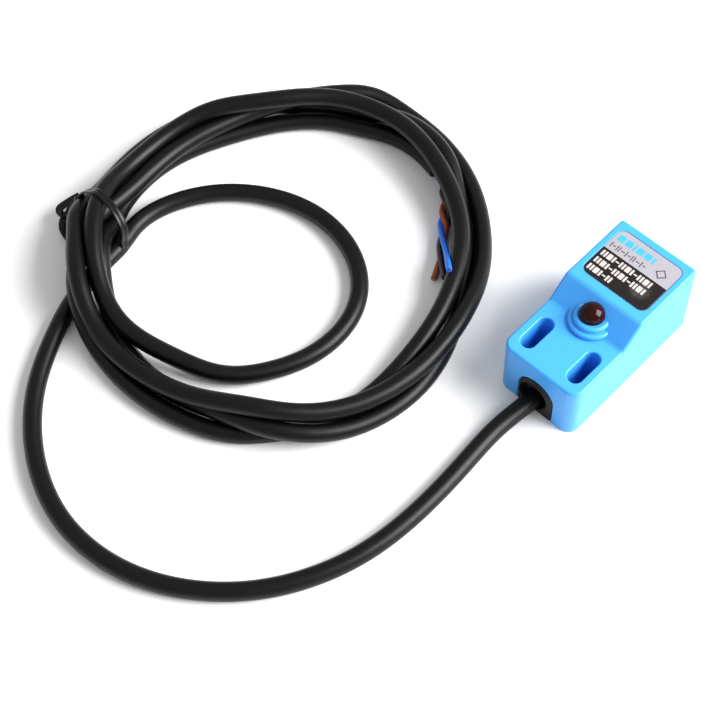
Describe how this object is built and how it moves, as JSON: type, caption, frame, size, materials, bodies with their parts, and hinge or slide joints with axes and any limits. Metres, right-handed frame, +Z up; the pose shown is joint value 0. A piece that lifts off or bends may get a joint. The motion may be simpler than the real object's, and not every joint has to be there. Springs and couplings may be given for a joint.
{
  "type": "inductive proximity sensor",
  "caption": "Block-style inductive proximity sensor: blue stepped housing with two mounting slots, a domed red lamp and a long round cable, coiled and tied.",
  "frame": {"origin": "centre of the housing's bottom face, on the mounting plane z = 0", "axes": "+X out of the sensing face, the cable leaves at -X; +Z up from the mounting plane; +Y to the left seen along +X"},
  "size_m": [0.1168, 0.114, 0.0182],
  "materials": {
    "blue_abs": "moulded blue ABS, semi-gloss, fine parting and edge rounding",
    "label_film": "printed polyester film, pale grey and black",
    "dark_red_resin": "clear dark red epoxy lens",
    "black_rubber": "moulded nitrile rubber, satin",
    "black_pvc": "extruded PVC jacket, satin",
    "tie_plastic": "flat plastic-coated wire tie, satin",
    "brown_pvc": "extruded brown PVC insulation",
    "blue_pvc": "extruded blue PVC insulation",
    "conductor_black_pvc": "extruded black PVC insulation",
    "enamelled_copper": "bare or enamelled copper wire",
    "tinned_copper": "tinned copper, drawn",
    "ferrite": "sintered ferrite, ground faces",
    "white_nylon": "moulded nylon",
    "green_board": "solder-masked glass-epoxy laminate",
    "moulded_epoxy": "black moulded epoxy",
    "potting_resin": "black casting resin, self-levelled",
    "resistor_ceramic": "glazed alumina chip",
    "capacitor_ceramic": "barium titanate ceramic chip"
  },
  "bodies": {
    "root": {"housing": "blue_abs", "rating_label": "label_film", "status_led_lens": "dark_red_resin", "cable_grommet": "black_rubber", "cable_lead": "black_pvc", "cable_inner_loop": "black_pvc", "cable_coil": "black_pvc", "twist_tie": "tie_plastic", "brown_wire_end": "brown_pvc", "blue_wire_end": "blue_pvc", "black_wire_end": "conductor_black_pvc", "brown_wire_core": "enamelled_copper", "blue_wire_core": "enamelled_copper", "black_wire_core": "enamelled_copper", "circuit_board": "green_board", "ferrite_core": "ferrite", "coil_bobbin": "white_nylon", "coil_winding": "enamelled_copper", "coil_start_lead": "enamelled_copper", "coil_finish_lead": "enamelled_copper", "oscillator_chip": "moulded_epoxy", "output_transistor": "moulded_epoxy", "reverse_protection_diode": "moulded_epoxy", "surge_diode": "moulded_epoxy", "led_anode_lead": "tinned_copper", "led_cathode_lead": "tinned_copper", "chip_resistor_1": "resistor_ceramic", "chip_resistor_2": "resistor_ceramic", "chip_resistor_3": "resistor_ceramic", "chip_resistor_4": "resistor_ceramic", "chip_capacitor_1": "capacitor_ceramic", "chip_capacitor_2": "capacitor_ceramic", "chip_capacitor_3": "capacitor_ceramic", "tuning_capacitor": "capacitor_ceramic", "brown_inner_wire": "brown_pvc", "blue_inner_wire": "blue_pvc", "black_inner_wire": "conductor_black_pvc", "potting_layer": "potting_resin"}
  },
  "joints": []
}
